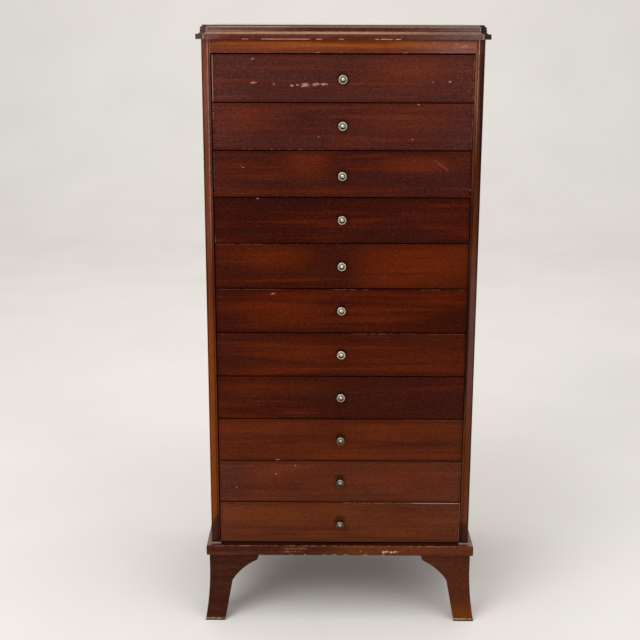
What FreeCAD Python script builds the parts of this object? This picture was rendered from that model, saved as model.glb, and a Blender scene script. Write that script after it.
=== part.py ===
import FreeCAD, Part
import math
import os

# A tall mahogany cabinet of shallow drawers for sheet music, on bracket feet.
# All sizes are millimetres. +Z is up, the drawers open towards -Y and +X is
# the viewer's right. Shapes are built with y = 0 on the front edges of the
# case sides, and are moved to the frame's origin when they are saved.

# Case
CASE_WIDTH = 413.4
CASE_DEPTH = 336.0
SIDE_THICK = 13.5
BOTTOM_THICK = 18.5
PANEL_THICK = 6.0
PANEL_LAP = 6.0
PANEL_FOOT_LAP = 12.0
FACE_PROUD = 6.0

# Rails under the top, with stub tenons in the sides
RAIL_HEIGHT = 19.2
FRIEZE_THICK = 20.0
REAR_RAIL_THICK = 18.0
TENON_LENGTH = 6.0
TENON_HEIGHT = 11.0
TENON_THICK = 8.0

# Moulded front edge of each side: a sunk band inside and a flat with rounded arrises
STILE_BAND = 3.3
STILE_SINK = 1.6
BAND_ROUND = 1.0
STILE_ROUND = 1.2

# Top board, moulded all round its front and sides, with square notched corners
TOP_SIDE_OVERHANG = 8.1
TOP_FRONT_OVERHANG = 7.0
TOP_NOTCH = 11.6
NOTCH_DRAW = 0.7
TOP_LOWER_HEIGHT = 7.4
TOP_LEDGE = 0.9
COVE_HEIGHT = 3.9
COVE_DEPTH = 5.6
BEAD_HEIGHT = 1.8
BEAD_OUT = 0.8
TOP_UPPER_HEIGHT = 4.5
LIP_STEP = 2.3
LIP_HEIGHT = 2.8
LIP_ROUND = 1.2
ARC_STEPS = 6

# Moulding round the bottom board
MOULDING_WIDTH = 7.5
MOULDING_HEIGHT = 17.8
MOULDING_ROUND = 3.0

# Bracket feet, splayed at the toe
FOOT_HEIGHT = 112.5
FOOT_SETBACK = 4.45
FOOT_THICK = 12.0
FLARE_START = 88.0
FLARE = 8.0
BRACKET_LENGTH = 79.8
NOSE_DROP = 9.2
NOSE_SLANT = 3.2
KNEE_WIDTH = 36.4
KNEE_HEIGHT = 67.6
CAVETTO_SAG = 4.0
TOE_WIDTH = 24.0
REAR_BRACKET_LENGTH = 56.0
BLOCK_SIZE = 12.5
BLOCK_LIFT = 6.0

# Drawers, counted from the top
DRAWER_COUNT = 11
FRONT_HEIGHT = 68.3
FRONT_THICK = 16.0
FRONT_ROUND = 0.9
DRAWER_GAP = 1.5
LOWEST_GAP = 2.4
TOPMOST_GAP = 2.2
SIDE_GAP = 1.8
DRAWER_LENGTH = 324.0
BOX_LIFT = 2.2
BOX_HEIGHT = 61.5
BOX_SIDE_THICK = 10.0
BOX_BACK_THICK = 9.0
FLOOR_THICK = 4.0
FLOOR_LIFT = 4.0
FLOOR_GROOVE = 4.0
FLOOR_CLEAR = 0.2

# Dovetails at the corners of a drawer
TAIL_LENGTH = 9.0
TAIL_COUNT = 2
TAIL_SPACING = 28.0
TAIL_HEIGHT = 14.0
TAIL_SPLAY = 2.0

# Runners on the case sides, which ride in grooves in the drawer sides
RUNNER_HEIGHT = 10.0
RUNNER_START = 22.0
GROOVE_DEPTH = 5.0
GROOVE_FLOOR_CLEAR = 0.3
GROOVE_TOP_CLEAR = 0.1
GROOVE_LOW_CLEAR = 0.4
STOP_CLEAR = 0.2

# Turned brass knobs: a neck, a dished face with a rim, and a domed button
KNOB_RADIUS = 6.5
KNOB_NECK_RADIUS = 3.8
KNOB_SEAT_RADIUS = 4.9
KNOB_SEAT_THICK = 1.0
KNOB_NECK_LENGTH = 4.0
KNOB_RIM_THICK = 4.0
KNOB_RIM_ROUND = 1.1
KNOB_RIM_WIDTH = 1.6
KNOB_DISH_DEPTH = 1.5
BUTTON_RADIUS = 3.6
BUTTON_RISE = 2.6
STUD_RADIUS = 2.0
STUD_TAIL = 1.5
STUD_CLEAR = 0.2
NUT_WIDTH = 9.0
NUT_THICK = 3.0

# How far each knob stands above the middle of its front, since they were set by eye
KNOB_RISE = (-1.2, 1.4, -2.5, 1.5, 0.6, 1.2, 1.2, 1.9, 0.5, -0.8, -2.9)

# Slotted countersunk screws
SCREW_RADIUS = 1.6
SCREW_HEAD_RADIUS = 3.0
SCREW_HEAD_DEPTH = 1.8
SCREW_TIP = 3.0
SCREW_CLEAR = 0.1
SLOT_WIDTH = 0.8
SLOT_DEPTH = 0.8
RUNNER_SCREW_LENGTH = 14.0
RUNNER_SCREW_INSET = 30.0
TOP_SCREW_LENGTH = 30.0
TOP_SCREW_SPACING = 240.0
BOTTOM_SCREW_LENGTH = 40.0
BOTTOM_SCREW_SPACING = 68.0
BOTTOM_SCREWS_PER_SIDE = 3
BACK_SCREW_LENGTH = 16.0
BACK_SCREW_SPACING = 150.0
BACK_SCREWS_PER_EDGE = 3

# Places worked out from the sizes above
CASE_HALF = CASE_WIDTH / 2
INNER_HALF = CASE_HALF - SIDE_THICK
FACE_Y = -FACE_PROUD
PANEL_Y = CASE_DEPTH - PANEL_THICK
PANEL_HALF = INNER_HALF + PANEL_LAP
LEDGE_Z = FOOT_HEIGHT + BOTTOM_THICK
PITCH = FRONT_HEIGHT + DRAWER_GAP
FIRST_FRONT_TOP = LEDGE_Z + LOWEST_GAP + DRAWER_COUNT * PITCH - DRAWER_GAP
RAIL_Z = FIRST_FRONT_TOP + TOPMOST_GAP
CASE_TOP = RAIL_Z + RAIL_HEIGHT
BASE_HALF = CASE_HALF + MOULDING_WIDTH
BASE_FRONT = FACE_Y - MOULDING_WIDTH
FOOT_HALF = BASE_HALF - FOOT_SETBACK
FOOT_FRONT = BASE_FRONT + FOOT_SETBACK
TOP_HALF = CASE_HALF + TOP_SIDE_OVERHANG
TOP_FRONT = FACE_Y - TOP_FRONT_OVERHANG
DRAWER_HALF = INNER_HALF - SIDE_GAP
BOX_INNER_HALF = DRAWER_HALF - BOX_SIDE_THICK
FRONT_BACK_Y = FACE_Y + FRONT_THICK
DRAWER_END_Y = FACE_Y + DRAWER_LENGTH
BOX_BACK_Y = DRAWER_END_Y - BOX_BACK_THICK
BOX_TOP = BOX_LIFT + BOX_HEIGHT
BOX_MIDDLE = BOX_LIFT + BOX_HEIGHT / 2
FLOOR_Z = BOX_LIFT + FLOOR_LIFT
FLOOR_TOP = FLOOR_Z + FLOOR_THICK
RUNNER_Z = BOX_MIDDLE - RUNNER_HEIGHT / 2
RUNNER_THICK = SIDE_GAP + GROOVE_DEPTH - GROOVE_FLOOR_CLEAR
KNOB_FACE = KNOB_NECK_LENGTH + KNOB_RIM_THICK
KNOB_REACH = KNOB_FACE - KNOB_DISH_DEPTH + BUTTON_RISE
FRONT_REACH = min(FACE_Y - KNOB_REACH, FOOT_FRONT - FLARE, BASE_FRONT, TOP_FRONT)
ORIGIN_Y = (FRONT_REACH + CASE_DEPTH) / 2
SPARE = 1.0
SAME_PLACE = 1e-6

V = FreeCAD.Vector
X_AXIS = V(1, 0, 0)
Y_AXIS = V(0, 1, 0)
Z_AXIS = V(0, 0, 1)


def box(x, y, z):
    """A block between two values on each axis."""
    corner = V(x[0], y[0], z[0])
    return Part.makeBox(x[1] - x[0], y[1] - y[0], z[1] - z[0], corner)


def prism(corners, travel):
    """A straight prism on a closed outline of corners."""
    return Part.Face(Part.makePolygon(corners + corners[:1])).extrude(travel)


def one_solid(shape):
    """The single solid of a finished shape."""
    return shape.removeSplitter().Solids[0]


def mirrored(shape):
    """The same piece on the other side of the cabinet."""
    return shape.mirror(V(0, 0, 0), X_AXIS)


def same(a, b):
    return abs(a - b) < SAME_PLACE


def arris_rounded(shape, radius, x, y):
    """A piece with its upright edge at a place in plan rounded over."""
    edges = [e for e in shape.Edges if all(same(p.X, x) and same(p.Y, y) for p in e.Vertexes)]
    return shape.makeFillet(radius, edges)


def spread(count, spacing, middle):
    """Evenly spaced places about a middle."""
    start = middle - spacing * (count - 1) / 2
    return [start + spacing * i for i in range(count)]


def front_z(number):
    """Height of the lower edge of a drawer front, where number 1 is the topmost."""
    return FIRST_FRONT_TOP - FRONT_HEIGHT - (number - 1) * PITCH


# Screws


def screw_body(length, clear):
    """A countersunk screw from its head down +Z, grown by a clearance all round."""
    outline = [
        V(0, 0, 0),
        V(SCREW_HEAD_RADIUS + clear, 0, 0),
        V(SCREW_RADIUS + clear, 0, SCREW_HEAD_DEPTH),
        V(SCREW_RADIUS + clear, 0, length - SCREW_TIP + clear),
        V(0, 0, length + clear),
    ]
    face = Part.Face(Part.makePolygon(outline + outline[:1]))
    return face.revolve(V(0, 0, 0), Z_AXIS, 360)


def placed(shape, head, direction):
    """A screw or its hole with its head at a point, driven along a direction."""
    moved = shape.copy()
    moved.Placement = FreeCAD.Placement(head, FreeCAD.Rotation(Z_AXIS, direction))
    return moved


def screw(length, head, direction):
    half = SCREW_HEAD_RADIUS + SPARE
    slot = box((-half, half), (-SLOT_WIDTH / 2, SLOT_WIDTH / 2), (-SPARE, SLOT_DEPTH))
    return placed(screw_body(length, 0).cut(slot), head, direction)


def screw_hole(length, head, direction):
    return placed(screw_body(length, SCREW_CLEAR), head, direction)


def runner_screw_places():
    """Heads of the right-hand runner screws: two on each runner."""
    x = INNER_HALF - RUNNER_THICK
    ends = (RUNNER_START + RUNNER_SCREW_INSET, PANEL_Y - RUNNER_SCREW_INSET)
    heights = [front_z(n) + BOX_MIDDLE for n in range(1, DRAWER_COUNT + 1)]
    return [(RUNNER_SCREW_LENGTH, V(x, y, z), X_AXIS) for z in heights for y in ends]


def top_screw_places():
    """Screws up through both rails into the top board."""
    middles = (FACE_Y + FRIEZE_THICK / 2, PANEL_Y - REAR_RAIL_THICK / 2)
    across = spread(2, TOP_SCREW_SPACING, 0)
    return [(TOP_SCREW_LENGTH, V(x, y, RAIL_Z), Z_AXIS) for y in middles for x in across]


def bottom_screw_places():
    """Screws up through the bottom board into the ends of the sides."""
    along = spread(BOTTOM_SCREWS_PER_SIDE, BOTTOM_SCREW_SPACING, CASE_DEPTH / 2)
    middle = INNER_HALF + SIDE_THICK / 2
    return [(BOTTOM_SCREW_LENGTH, V(x, y, FOOT_HEIGHT), Z_AXIS) for x in (-middle, middle) for y in along]


def back_screw_places():
    """Screws through the back panel into the rear rail and the bottom board."""
    across = spread(BACK_SCREWS_PER_EDGE, BACK_SCREW_SPACING, 0)
    heights = (LEDGE_Z - PANEL_FOOT_LAP / 2, RAIL_Z + RAIL_HEIGHT / 2)
    return [(BACK_SCREW_LENGTH, V(x, CASE_DEPTH, z), -Y_AXIS) for z in heights for x in across]


def drilled(shape, places):
    """A piece with the holes for a set of screws."""
    return shape.cut([screw_hole(*place) for place in places])


def case_screws():
    places = top_screw_places() + bottom_screw_places() + back_screw_places()
    return [screw(*place) for place in places]


def runner_screws():
    right = [screw(*place) for place in runner_screw_places()]
    return right + [mirrored(piece) for piece in right]


# Case


def back_panel_blank():
    return box((-PANEL_HALF, PANEL_HALF), (PANEL_Y, CASE_DEPTH), (LEDGE_Z - PANEL_FOOT_LAP, CASE_TOP))


def back_panel():
    return drilled(back_panel_blank(), back_screw_places())


def rail_tenons(y_middle):
    """The stub tenons of a rail, at both ends."""
    reach = INNER_HALF + TENON_LENGTH
    z_middle = RAIL_Z + RAIL_HEIGHT / 2
    thick = (y_middle - TENON_THICK / 2, y_middle + TENON_THICK / 2)
    tall = (z_middle - TENON_HEIGHT / 2, z_middle + TENON_HEIGHT / 2)
    return [box((INNER_HALF, reach), thick, tall), box((-reach, -INNER_HALF), thick, tall)]


def frieze_tenons():
    return rail_tenons((FACE_Y + FRIEZE_THICK) / 2)


def rear_tenons():
    return rail_tenons(PANEL_Y - REAR_RAIL_THICK / 2)


def rail(y, tenons):
    blank = box((-INNER_HALF, INNER_HALF), y, (RAIL_Z, CASE_TOP))
    return one_solid(drilled(blank.fuse(tenons), top_screw_places() + back_screw_places()))


def case_side():
    """The right-hand side board, with its moulded front edge and its sockets."""
    blank = box((INNER_HALF, CASE_HALF), (0, CASE_DEPTH), (LEDGE_Z, CASE_TOP))
    step_x = INNER_HALF + STILE_BAND
    band = box((INNER_HALF - SPARE, step_x), (-SPARE, STILE_SINK), (LEDGE_Z - SPARE, CASE_TOP + SPARE))
    board = arris_rounded(blank.cut(band), STILE_ROUND, CASE_HALF, 0)
    board = arris_rounded(board, BAND_ROUND, step_x, 0)
    board = board.cut([back_panel_blank()] + frieze_tenons() + rear_tenons())
    return one_solid(drilled(board, runner_screw_places() + bottom_screw_places()))


def bottom_board():
    """The board that the sides stand on, rebated behind for the back panel."""
    board = box((-CASE_HALF, CASE_HALF), (FACE_Y, CASE_DEPTH), (FOOT_HEIGHT, LEDGE_Z))
    return one_solid(drilled(board.cut(back_panel_blank()), bottom_screw_places() + back_screw_places()))


def runners():
    """One runner on each side for each drawer."""
    x = (INNER_HALF - RUNNER_THICK, INNER_HALF)
    right = []
    for number in range(1, DRAWER_COUNT + 1):
        z = front_z(number) + RUNNER_Z
        strip = box(x, (RUNNER_START, PANEL_Y), (z, z + RUNNER_HEIGHT))
        right.append(one_solid(drilled(strip, runner_screw_places())))
    return right + [mirrored(strip) for strip in right]


# Top board


def top_outline(inset, z):
    """The notched outline of the top at a height, drawn in from its widest line, less so in the notches."""
    side = TOP_HALF - inset
    front_end = TOP_HALF - TOP_NOTCH - NOTCH_DRAW * inset
    front = TOP_FRONT + inset
    notch = front + TOP_NOTCH
    right = [(front_end, front), (front_end, notch), (side, notch), (side, CASE_DEPTH)]
    left = [(-x, y) for x, y in reversed(right)]
    corners = [V(x, y, z) for x, y in right + left]
    return Part.makePolygon(corners + corners[:1])


def top_profile():
    """The moulding's section from the bottom up, as drawing-in and height."""
    quarter = [math.pi / 2 * i / ARC_STEPS for i in range(ARC_STEPS + 1)]
    half = [2 * a for a in quarter]
    lower_top = CASE_TOP + TOP_LOWER_HEIGHT
    bead_z = lower_top + COVE_HEIGHT
    upper = bead_z + BEAD_HEIGHT
    lip = upper + TOP_UPPER_HEIGHT
    drawn_in = TOP_LEDGE + COVE_DEPTH
    step = drawn_in + LIP_STEP

    def cove_at(a):
        return TOP_LEDGE + COVE_DEPTH * math.sin(a), lower_top + COVE_HEIGHT * (1 - math.cos(a))

    def bead_at(a):
        return drawn_in - BEAD_OUT * math.sin(a), bead_z + BEAD_HEIGHT * (1 - math.cos(a)) / 2

    def lip_at(a):
        return step + LIP_ROUND * (1 - math.cos(a)), lip + LIP_HEIGHT - LIP_ROUND * (1 - math.sin(a))

    face = [(0, CASE_TOP), (0, lower_top)]
    cove = [cove_at(a) for a in quarter]
    bead = [bead_at(a) for a in half]
    tier = [(drawn_in, upper), (drawn_in, lip)]
    rounded = [(step, lip)] + [lip_at(a) for a in quarter]
    return face, cove, bead, tier, rounded


def top_board():
    """The top, as bands of its moulding stacked and joined."""
    bands = []
    for stretch in top_profile():
        for low, high in zip(stretch, stretch[1:]):
            bands.append(Part.makeLoft([top_outline(*low), top_outline(*high)], True, True))
    return one_solid(drilled(bands[0].fuse(bands[1:]), top_screw_places()))


# Moulding round the bottom board


def moulding_section(along):
    """The moulding's section with its outer face at 0, turned to run across or along."""
    low = FOOT_HEIGHT
    high = FOOT_HEIGHT + MOULDING_HEIGHT
    r = MOULDING_ROUND
    corner = r * (1 - math.sqrt(0.5))

    def at(out, z):
        return V(-out, 0, z) if along else V(0, out, z)

    edges = [
        Part.LineSegment(at(MOULDING_WIDTH, low), at(r, low)),
        Part.Arc(at(r, low), at(corner, low + corner), at(0, low + r)),
        Part.LineSegment(at(0, low + r), at(0, high - r)),
        Part.Arc(at(0, high - r), at(corner, high - corner), at(r, high)),
        Part.LineSegment(at(r, high), at(MOULDING_WIDTH, high)),
        Part.LineSegment(at(MOULDING_WIDTH, high), at(MOULDING_WIDTH, low)),
    ]
    return Part.Face(Part.Wire([e.toShape() for e in edges]))


def plan_block(corners):
    """An upright block over a plan, through the moulding's height."""
    return prism([V(x, y, FOOT_HEIGHT - SPARE) for x, y in corners], V(0, 0, MOULDING_HEIGHT + 2 * SPARE))


def base_moulding():
    """Front and side lengths, mitred at the front corners."""
    across = V(2 * BASE_HALF, 0, 0)
    front = moulding_section(False).extrude(across).translated(V(-BASE_HALF, BASE_FRONT, 0))
    mitred = [(-BASE_HALF, BASE_FRONT), (BASE_HALF, BASE_FRONT), (CASE_HALF, FACE_Y), (-CASE_HALF, FACE_Y)]
    along = V(0, CASE_DEPTH - BASE_FRONT, 0)
    side = moulding_section(True).extrude(along).translated(V(BASE_HALF, BASE_FRONT, 0))
    ended = [(BASE_HALF, BASE_FRONT), (BASE_HALF, CASE_DEPTH), (CASE_HALF, CASE_DEPTH), (CASE_HALF, FACE_Y)]
    front_length = one_solid(front.common(plan_block(mitred)))
    right_length = one_solid(side.common(plan_block(ended)))
    return [front_length, right_length, mirrored(right_length)]


# Feet


def flare_out(z):
    """How far the splayed outer face stands out at a height."""
    radius = (FLARE_START ** 2 + FLARE ** 2) / (2 * FLARE)
    return radius - math.sqrt(radius ** 2 - (FLARE_START - z) ** 2)


def splayed_section(at):
    """The upright section of a bracket: flat inside, splayed outside at the toe."""
    half = FLARE_START / 2
    edges = [
        Part.LineSegment(at(0, FOOT_HEIGHT), at(0, FLARE_START)),
        Part.Arc(at(0, FLARE_START), at(flare_out(half), half), at(FLARE, 0)),
        Part.LineSegment(at(FLARE, 0), at(-FOOT_THICK, 0)),
        Part.LineSegment(at(-FOOT_THICK, 0), at(-FOOT_THICK, FOOT_HEIGHT)),
        Part.LineSegment(at(-FOOT_THICK, FOOT_HEIGHT), at(0, FOOT_HEIGHT)),
    ]
    return Part.Face(Part.Wire([e.toShape() for e in edges]))


def bracket_outline(at):
    """The face view of a bracket, measured inwards from the foot's corner."""
    margin = FLARE + SPARE
    nose = (BRACKET_LENGTH - NOSE_SLANT, FOOT_HEIGHT - NOSE_DROP)
    knee = (KNEE_WIDTH, KNEE_HEIGHT)
    run, rise = nose[0] - knee[0], nose[1] - knee[1]
    chord = math.hypot(run, rise)
    sagged = (
        (nose[0] + knee[0]) / 2 - CAVETTO_SAG * rise / chord,
        (nose[1] + knee[1]) / 2 + CAVETTO_SAG * run / chord,
    )
    edges = [
        Part.LineSegment(at(-margin, FOOT_HEIGHT), at(BRACKET_LENGTH, FOOT_HEIGHT)),
        Part.LineSegment(at(BRACKET_LENGTH, FOOT_HEIGHT), at(*nose)),
        Part.Arc(at(*nose), at(*sagged), at(*knee)),
        Part.LineSegment(at(*knee), at(TOE_WIDTH, 0)),
        Part.LineSegment(at(TOE_WIDTH, 0), at(-margin, 0)),
        Part.LineSegment(at(-margin, 0), at(-margin, FOOT_HEIGHT)),
    ]
    return Part.Face(Part.Wire([e.toShape() for e in edges]))


def foot_plan(corners):
    return prism([V(x, y, 0) for x, y in corners], V(0, 0, FOOT_HEIGHT))


def side_bracket_blank(corner_y, inward):
    """A right-hand side bracket before its end is cut, running inward from a corner."""
    length = BRACKET_LENGTH + FLARE + SPARE
    low = min(corner_y - inward * (FLARE + SPARE), corner_y + inward * length)
    section = splayed_section(lambda out, z: V(FOOT_HALF + out, low, z))
    splayed = section.extrude(V(0, length + FLARE + SPARE, 0))
    face = bracket_outline(lambda w, z: V(FOOT_HALF - FOOT_THICK - SPARE, corner_y + inward * w, z))
    return splayed.common(face.extrude(V(FOOT_THICK + FLARE + 2 * SPARE, 0, 0)))


def front_bracket_blank():
    """A right-hand front bracket before its mitre is cut."""
    length = BRACKET_LENGTH + FLARE + SPARE
    section = splayed_section(lambda out, z: V(FOOT_HALF - length, FOOT_FRONT - out, z))
    splayed = section.extrude(V(length + FLARE + SPARE, 0, 0))
    face = bracket_outline(lambda w, z: V(FOOT_HALF - w, FOOT_FRONT - FLARE - SPARE, z))
    return splayed.common(face.extrude(V(0, FOOT_THICK + FLARE + 2 * SPARE, 0)))


def front_foot():
    """Two brackets mitred at the right-hand front corner."""
    out = FLARE + SPARE
    tip = (FOOT_HALF + out, FOOT_FRONT - out)
    heel = (FOOT_HALF - FOOT_THICK, FOOT_FRONT + FOOT_THICK)
    far = BRACKET_LENGTH + SPARE
    ahead = foot_plan([tip, heel, (FOOT_HALF - far, heel[1]), (FOOT_HALF - far, tip[1])])
    aside = foot_plan([tip, heel, (heel[0], FOOT_FRONT + far), (tip[0], FOOT_FRONT + far)])
    front = one_solid(front_bracket_blank().common(ahead))
    side = one_solid(side_bracket_blank(FOOT_FRONT, 1).common(aside))
    return [front, side]


def rear_foot():
    """A side bracket ending flush behind, with a plain bracket across its back."""
    far = CASE_DEPTH - BRACKET_LENGTH - SPARE
    right = FOOT_HALF + FLARE + SPARE
    inner = FOOT_HALF - FOOT_THICK
    aside = foot_plan([(inner, far), (right, far), (right, CASE_DEPTH), (inner, CASE_DEPTH)])
    side = one_solid(side_bracket_blank(CASE_DEPTH, -1).common(aside))
    y = CASE_DEPTH - FOOT_THICK
    end = inner - REAR_BRACKET_LENGTH
    outline = [(inner, 0), (inner, FOOT_HEIGHT), (end, FOOT_HEIGHT), (end, FOOT_HEIGHT - NOSE_DROP)]
    outline.append((FOOT_HALF - TOE_WIDTH, 0))
    rear = prism([V(x, y, z) for x, z in outline], V(0, FOOT_THICK, 0))
    return [side, rear]


def foot_blocks():
    """Glue blocks in the corners behind the brackets."""
    x = (FOOT_HALF - FOOT_THICK - BLOCK_SIZE, FOOT_HALF - FOOT_THICK)
    ahead = FOOT_FRONT + FOOT_THICK
    behind = CASE_DEPTH - FOOT_THICK
    spans = ((ahead, ahead + BLOCK_SIZE), (behind - BLOCK_SIZE, behind))
    right = [box(x, y, (BLOCK_LIFT, FOOT_HEIGHT)) for y in spans]
    return right + [mirrored(block) for block in right]


# Drawers, built with z = 0 on the lower edge of the front


def tails(shoulder_y, tip_y):
    """The right-hand dovetails from their shoulder line to their tips."""
    x = DRAWER_HALF - BOX_SIDE_THICK
    pieces = []
    for z in spread(TAIL_COUNT, TAIL_SPACING, BOX_MIDDLE):
        tip = TAIL_HEIGHT / 2
        root = tip - TAIL_SPLAY
        outline = [(shoulder_y, z - root), (shoulder_y, z + root), (tip_y, z + tip), (tip_y, z - tip)]
        pieces.append(prism([V(x, y, h) for y, h in outline], V(BOX_SIDE_THICK, 0, 0)))
    return pieces


def both_sides(pieces):
    return pieces + [mirrored(piece) for piece in pieces]


def front_tails():
    return tails(FRONT_BACK_Y, FRONT_BACK_Y - TAIL_LENGTH)


def rear_tails():
    return tails(BOX_BACK_Y, DRAWER_END_Y)


def runner_groove():
    """The right-hand groove, closed at its front end and open behind."""
    x = (DRAWER_HALF - GROOVE_DEPTH, DRAWER_HALF + SPARE)
    y = (RUNNER_START - STOP_CLEAR, DRAWER_END_Y + SPARE)
    z = (RUNNER_Z - GROOVE_LOW_CLEAR, RUNNER_Z + RUNNER_HEIGHT + GROOVE_TOP_CLEAR)
    return box(x, y, z)


def floor_groove():
    """The slot for the drawer's floor in the front and both sides."""
    reach = BOX_INNER_HALF + FLOOR_GROOVE
    ahead = FRONT_BACK_Y - FLOOR_GROOVE
    return box((-reach, reach), (ahead, DRAWER_END_Y + SPARE), (FLOOR_Z, FLOOR_TOP + FLOOR_CLEAR))


def drawer_front(knob_z):
    """A front with its arrises eased, bored for its knob at a height."""
    blank = box((-DRAWER_HALF, DRAWER_HALF), (FACE_Y, FRONT_BACK_Y), (0, FRONT_HEIGHT))
    face_edges = [e for e in blank.Edges if all(same(p.Y, FACE_Y) for p in e.Vertexes)]
    board = blank.makeFillet(FRONT_ROUND, face_edges)
    bore = Part.makeCylinder(STUD_RADIUS + STUD_CLEAR, FRONT_THICK, V(0, FACE_Y, knob_z), Y_AXIS)
    return one_solid(board.cut([bore, floor_groove()] + both_sides(front_tails())))


def drawer_back_blank():
    board = box((-DRAWER_HALF, DRAWER_HALF), (BOX_BACK_Y, DRAWER_END_Y), (FLOOR_TOP + FLOOR_CLEAR, BOX_TOP))
    return board.cut(both_sides(rear_tails()))


def drawer_box():
    """Two dovetailed sides and the back."""
    back = drawer_back_blank()
    board = box((BOX_INNER_HALF, DRAWER_HALF), (FRONT_BACK_Y, DRAWER_END_Y), (BOX_LIFT, BOX_TOP))
    side = one_solid(board.cut(back).fuse(front_tails()).cut([runner_groove(), floor_groove()]))
    return [side, mirrored(side), one_solid(back.cut(both_sides([runner_groove()])))]


def drawer_floor():
    reach = BOX_INNER_HALF + FLOOR_GROOVE - FLOOR_CLEAR
    ahead = FRONT_BACK_Y - FLOOR_GROOVE + FLOOR_CLEAR
    return box((-reach, reach), (ahead, DRAWER_END_Y), (FLOOR_Z, FLOOR_TOP))


def knob_section():
    """Half the knob's section, as radius and distance out from the drawer's face."""
    tail = -(FRONT_THICK + NUT_THICK + STUD_TAIL)
    dish = KNOB_FACE - KNOB_DISH_DEPTH
    rim_inner = KNOB_RADIUS - KNOB_RIM_WIDTH
    rim_corner = KNOB_RIM_ROUND * (1 - math.sqrt(0.5))
    ball = (BUTTON_RADIUS ** 2 + BUTTON_RISE ** 2) / (2 * BUTTON_RISE)
    half_turn = math.asin(BUTTON_RADIUS / ball) / 2
    crown = (ball * math.sin(half_turn), dish + BUTTON_RISE - ball * (1 - math.cos(half_turn)))

    def at(radius, out):
        return V(radius, -out, 0)

    corners = [
        at(0, tail),
        at(STUD_RADIUS, tail),
        at(STUD_RADIUS, 0),
        at(KNOB_SEAT_RADIUS, 0),
        at(KNOB_SEAT_RADIUS, KNOB_SEAT_THICK),
        at(KNOB_NECK_RADIUS, KNOB_SEAT_THICK),
        at(KNOB_NECK_RADIUS, KNOB_NECK_LENGTH),
        at(KNOB_RADIUS, KNOB_NECK_LENGTH),
        at(KNOB_RADIUS, KNOB_FACE - KNOB_RIM_ROUND),
    ]
    edges = [Part.LineSegment(a, b) for a, b in zip(corners, corners[1:])]
    edges.append(Part.Arc(corners[-1], at(KNOB_RADIUS - rim_corner, KNOB_FACE - rim_corner),
                          at(KNOB_RADIUS - KNOB_RIM_ROUND, KNOB_FACE)))
    edges.append(Part.LineSegment(at(KNOB_RADIUS - KNOB_RIM_ROUND, KNOB_FACE), at(rim_inner, KNOB_FACE)))
    edges.append(Part.LineSegment(at(rim_inner, KNOB_FACE), at(rim_inner, dish)))
    edges.append(Part.LineSegment(at(rim_inner, dish), at(BUTTON_RADIUS, dish)))
    edges.append(Part.Arc(at(BUTTON_RADIUS, dish), at(*crown), at(0, dish + BUTTON_RISE)))
    edges.append(Part.LineSegment(at(0, dish + BUTTON_RISE), corners[0]))
    return Part.Face(Part.Wire([e.toShape() for e in edges]))


def drawer_knob(knob_z):
    """The knob with its stud, and the square nut inside the drawer."""
    knob = knob_section().revolve(V(0, 0, 0), Y_AXIS, 360).translated(V(0, FACE_Y, knob_z))
    half = NUT_WIDTH / 2
    nut = box((-half, half), (FRONT_BACK_Y, FRONT_BACK_Y + NUT_THICK), (knob_z - half, knob_z + half))
    hole = Part.makeCylinder(STUD_RADIUS + STUD_CLEAR, NUT_THICK, V(0, FRONT_BACK_Y, knob_z), Y_AXIS)
    return [knob, one_solid(nut.cut(hole))]


# Saving


def save(name, pieces):
    """Write a node's solids, moved to the frame's origin."""
    shape = pieces[0] if len(pieces) == 1 else Part.makeCompound(pieces)
    moved = shape.translated(V(0, -ORIGIN_Y, 0))
    moved.exportStep(os.path.join("parts", name + ".step"))
    volume = round(sum(piece.Volume for piece in moved.Solids))
    state = "valid" if moved.isValid() else "NOT VALID"
    print(name, len(moved.Solids), "solids", volume, "mm3", state)


def save_case():
    right_side = case_side()
    save("right_side", [right_side])
    save("left_side", [mirrored(right_side)])
    save("top_board", [top_board()])
    save("back_panel", [one_solid(back_panel())])
    save("frieze_rail", [rail((FACE_Y, FACE_Y + FRIEZE_THICK), frieze_tenons())])
    save("rear_top_rail", [rail((PANEL_Y - REAR_RAIL_THICK, PANEL_Y), rear_tenons())])
    save("bottom_board", [bottom_board()])
    save("base_moulding", base_moulding())
    save("drawer_runners", runners())
    save("runner_screws", runner_screws())
    save("case_screws", case_screws())


def save_feet():
    for place, foot in (("front", front_foot()), ("rear", rear_foot())):
        save("foot_%s_right" % place, foot)
        save("foot_%s_left" % place, [mirrored(piece) for piece in foot])
    save("foot_blocks", foot_blocks())


def save_drawers():
    walls = drawer_box()
    floor = [drawer_floor()]
    for number in range(1, DRAWER_COUNT + 1):
        knob_z = FRONT_HEIGHT / 2 + KNOB_RISE[(number - 1) % len(KNOB_RISE)]
        front = [drawer_front(knob_z)]
        lift = V(0, 0, front_z(number))
        pieces = {"front": front, "box": walls, "bottom": floor, "knob": drawer_knob(knob_z)}
        for piece, solids in pieces.items():
            save("drawer_%02d_%s" % (number, piece), [solid.translated(lift) for solid in solids])


os.makedirs("parts", exist_ok=True)
save_case()
save_feet()
save_drawers()
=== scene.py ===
"""Looks of the sheet music cabinet: old polished mahogany, aged metal knobs, plain working wood inside."""

import math

import bpy
from mathutils import Matrix, Vector


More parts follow.
